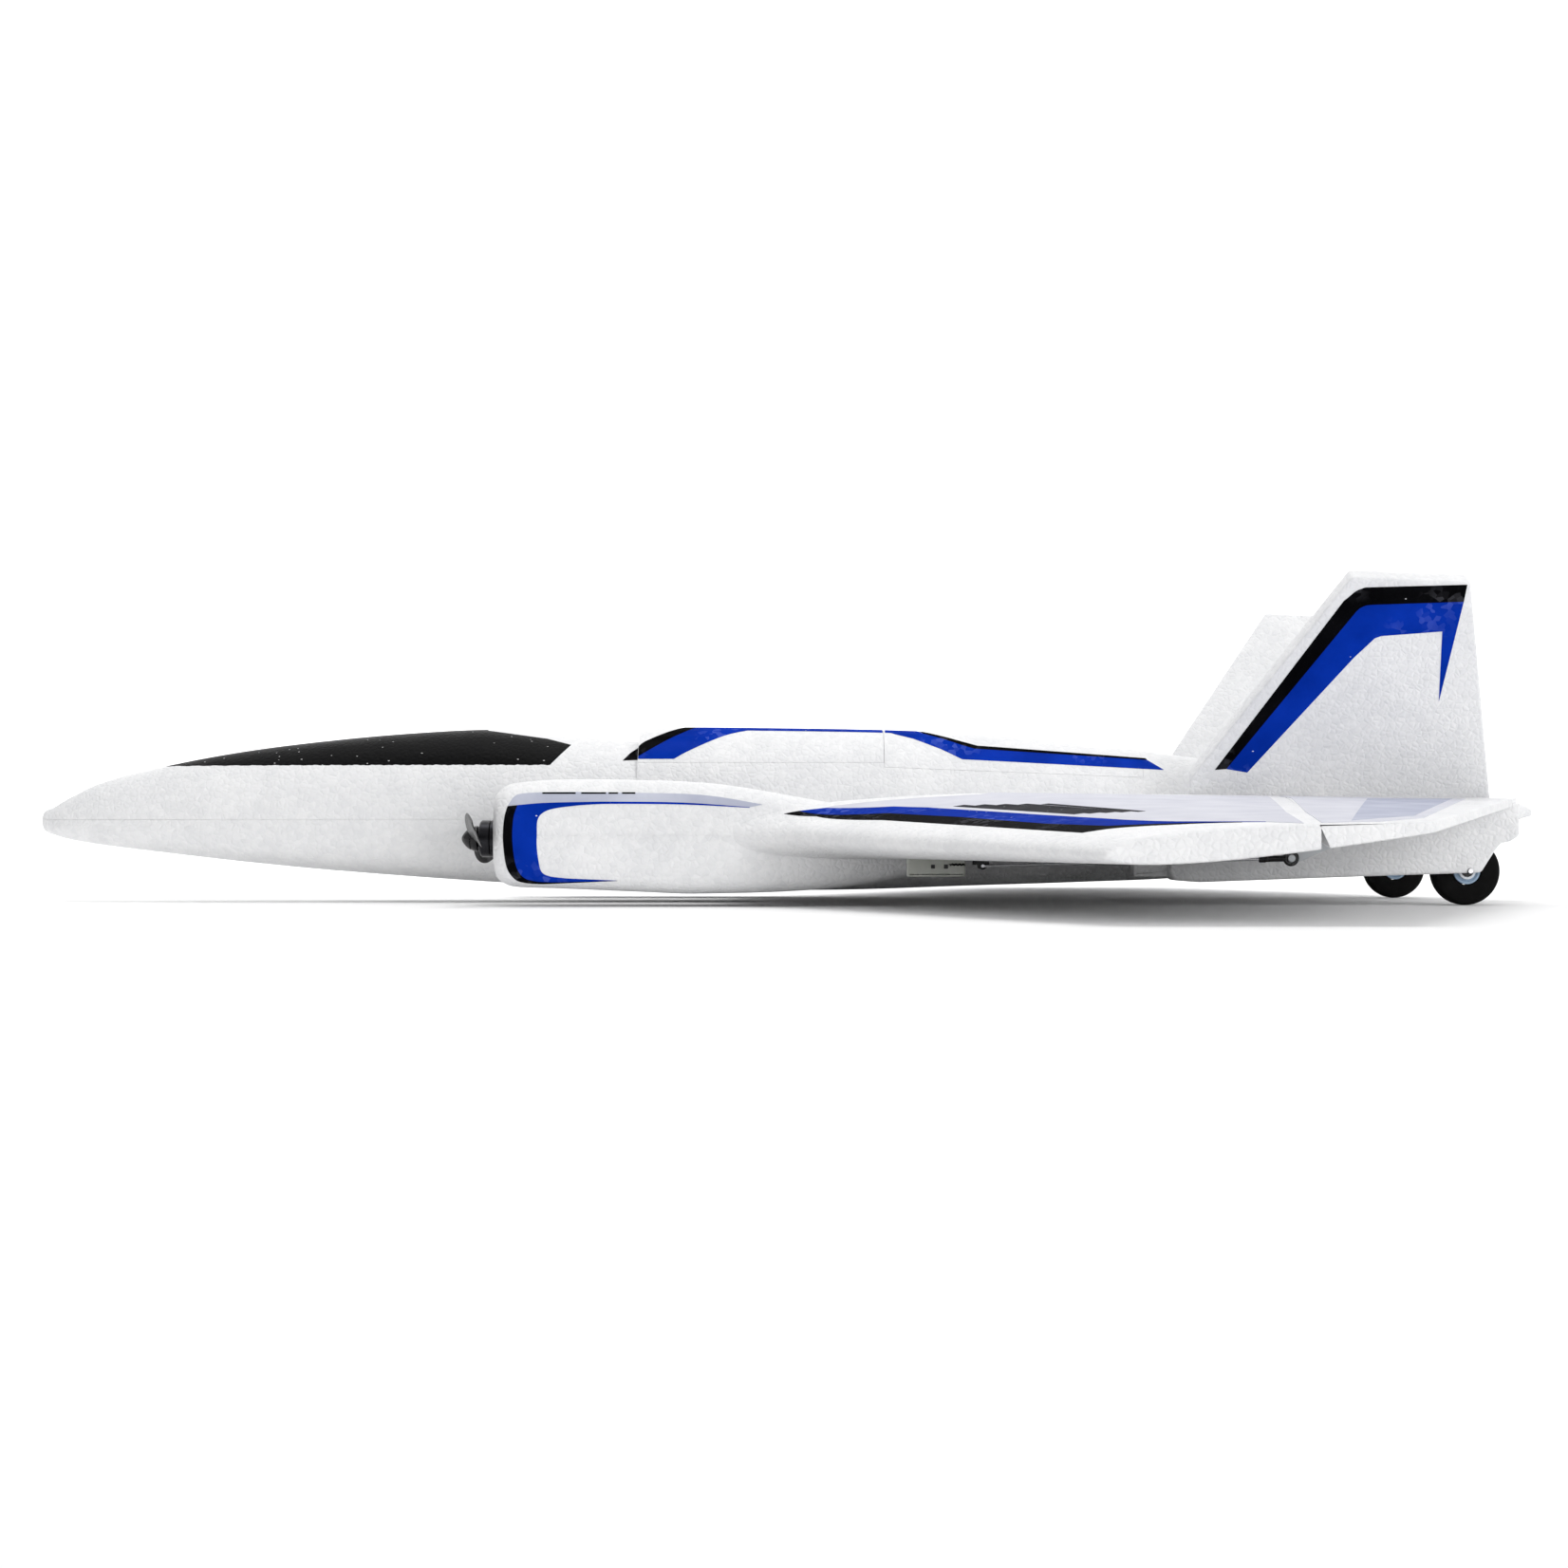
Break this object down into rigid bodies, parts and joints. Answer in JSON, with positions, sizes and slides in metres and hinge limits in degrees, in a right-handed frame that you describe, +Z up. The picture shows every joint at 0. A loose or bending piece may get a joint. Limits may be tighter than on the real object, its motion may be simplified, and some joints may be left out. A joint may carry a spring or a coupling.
{
  "type": "rc jet plane",
  "caption": "radio-controlled foam jet with underslung propeller nacelles, swept wing with elevons, canted fins, lift-off battery hatch and tail wheels",
  "frame": {"origin": "on the ground under the middle of the length and of the span", "axes": "nose along -X, right wing along +Y, up along +Z"},
  "size_m": [0.512, 0.5, 0.1056],
  "materials": {
    "foam": "matte",
    "canopy_black": "satin",
    "black_plastic": "gloss",
    "pale_plastic": "satin",
    "motor_metal": "gloss",
    "steel": "polished",
    "tyre": "matte",
    "hub_plastic": "satin",
    "servo_plastic": "gloss",
    "battery_wrap": "gloss",
    "circuit_board": "satin",
    "carbon": "satin",
    "plywood": "matte",
    "strap_fabric": "matte",
    "magnet": "polished"
  },
  "bodies": {
    "airframe": {"fuselage_lower_shell": "foam", "fuselage_upper_shell": "foam", "canopy": "canopy_black", "spine_cover": "foam", "battery_tray": "plywood", "battery": "battery_wrap", "battery_strap": "strap_fabric", "receiver_board": "circuit_board", "wing_spar": "carbon", "frame_magnet": "magnet", "right_nacelle": "foam", "right_wing": "foam", "right_fin": "foam", "right_wheel_pod": "foam", "right_wheel_axle": "steel", "right_servo_case": "servo_plastic", "right_motor_can": "motor_metal", "right_motor_mount": "black_plastic", "right_speed_controller": "circuit_board", "left_nacelle": "foam", "left_wing": "foam", "left_fin": "foam", "left_wheel_pod": "foam", "left_wheel_axle": "steel", "left_servo_case": "servo_plastic", "left_motor_can": "motor_metal", "left_motor_mount": "black_plastic", "left_speed_controller": "circuit_board"},
    "battery_hatch": {"battery_hatch": "foam", "hatch_magnet": "magnet"},
    "right_elevon": {"right_elevon": "foam", "right_control_horn": "pale_plastic"},
    "right_servo_arm": {"right_servo_arm": "black_plastic"},
    "right_pushrod": {"right_pushrod_eye": "black_plastic", "right_pushrod_wire": "steel"},
    "right_propeller": {"right_propeller": "black_plastic", "right_spinner_cap": "black_plastic", "right_motor_shaft": "steel"},
    "right_wheel": {"right_tyre": "tyre", "right_wheel_hub": "hub_plastic"},
    "left_elevon": {"left_elevon": "foam", "left_control_horn": "pale_plastic"},
    "left_servo_arm": {"left_servo_arm": "black_plastic"},
    "left_pushrod": {"left_pushrod_eye": "black_plastic", "left_pushrod_wire": "steel"},
    "left_propeller": {"left_propeller": "black_plastic", "left_spinner_cap": "black_plastic", "left_motor_shaft": "steel"},
    "left_wheel": {"left_tyre": "tyre", "left_wheel_hub": "hub_plastic"}
  },
  "joints": [
    {"name": "hatch_lift", "type": "slide", "parent": "airframe", "child": "battery_hatch", "axis": [0, 0, 1], "range_m": [0, 0.04]},
    {"name": "right_servo_turn", "type": "hinge", "parent": "airframe", "child": "right_servo_arm", "pos_m": [0.061, 0.11, 0.0203], "axis": [0, 1, 0], "range_deg": [-40, 40]},
    {"name": "right_elevon_hinge", "type": "hinge", "parent": "airframe", "child": "right_elevon", "pos_m": [0.14806, 0.15, 0.03061], "axis": [-0.1352, 0.9894, -0.0523], "range_deg": [-15, 15]},
    {"name": "right_rod_pivot", "type": "hinge", "parent": "right_elevon", "child": "right_pushrod", "pos_m": [0.15325, 0.112, 0.0156], "axis": [-0.1352, 0.9894, -0.0523], "range_deg": [-16, 16]},
    {"name": "right_propeller_spin", "type": "hinge", "parent": "airframe", "child": "right_propeller", "pos_m": [-0.0985, 0.06, 0.0215], "axis": [1, 0, 0], "continuous": true},
    {"name": "right_wheel_spin", "type": "hinge", "parent": "airframe", "child": "right_wheel", "pos_m": [0.221, 0.0505, 0.0111], "axis": [0, 1, 0], "continuous": true},
    {"name": "left_servo_turn", "type": "hinge", "parent": "airframe", "child": "left_servo_arm", "pos_m": [0.061, -0.11, 0.0203], "axis": [0, 1, 0], "range_deg": [-40, 40]},
    {"name": "left_elevon_hinge", "type": "hinge", "parent": "airframe", "child": "left_elevon", "pos_m": [0.14806, -0.15, 0.03061], "axis": [0.1352, 0.9894, 0.0523], "range_deg": [-15, 15]},
    {"name": "left_rod_pivot", "type": "hinge", "parent": "left_elevon", "child": "left_pushrod", "pos_m": [0.15325, -0.112, 0.0156], "axis": [0.1352, 0.9894, 0.0523], "range_deg": [-16, 16]},
    {"name": "left_propeller_spin", "type": "hinge", "parent": "airframe", "child": "left_propeller", "pos_m": [-0.0985, -0.06, 0.0215], "axis": [1, 0, 0], "continuous": true},
    {"name": "left_wheel_spin", "type": "hinge", "parent": "airframe", "child": "left_wheel", "pos_m": [0.221, -0.0505, 0.0111], "axis": [0, 1, 0], "continuous": true}
  ],
  "couplings": [
    {"joint": "right_servo_turn", "follows": "right_elevon_hinge", "ratio": 2.4259},
    {"joint": "right_rod_pivot", "follows": "right_elevon_hinge", "ratio": -1},
    {"joint": "left_servo_turn", "follows": "left_elevon_hinge", "ratio": 2.4259},
    {"joint": "left_rod_pivot", "follows": "left_elevon_hinge", "ratio": -1}
  ]
}
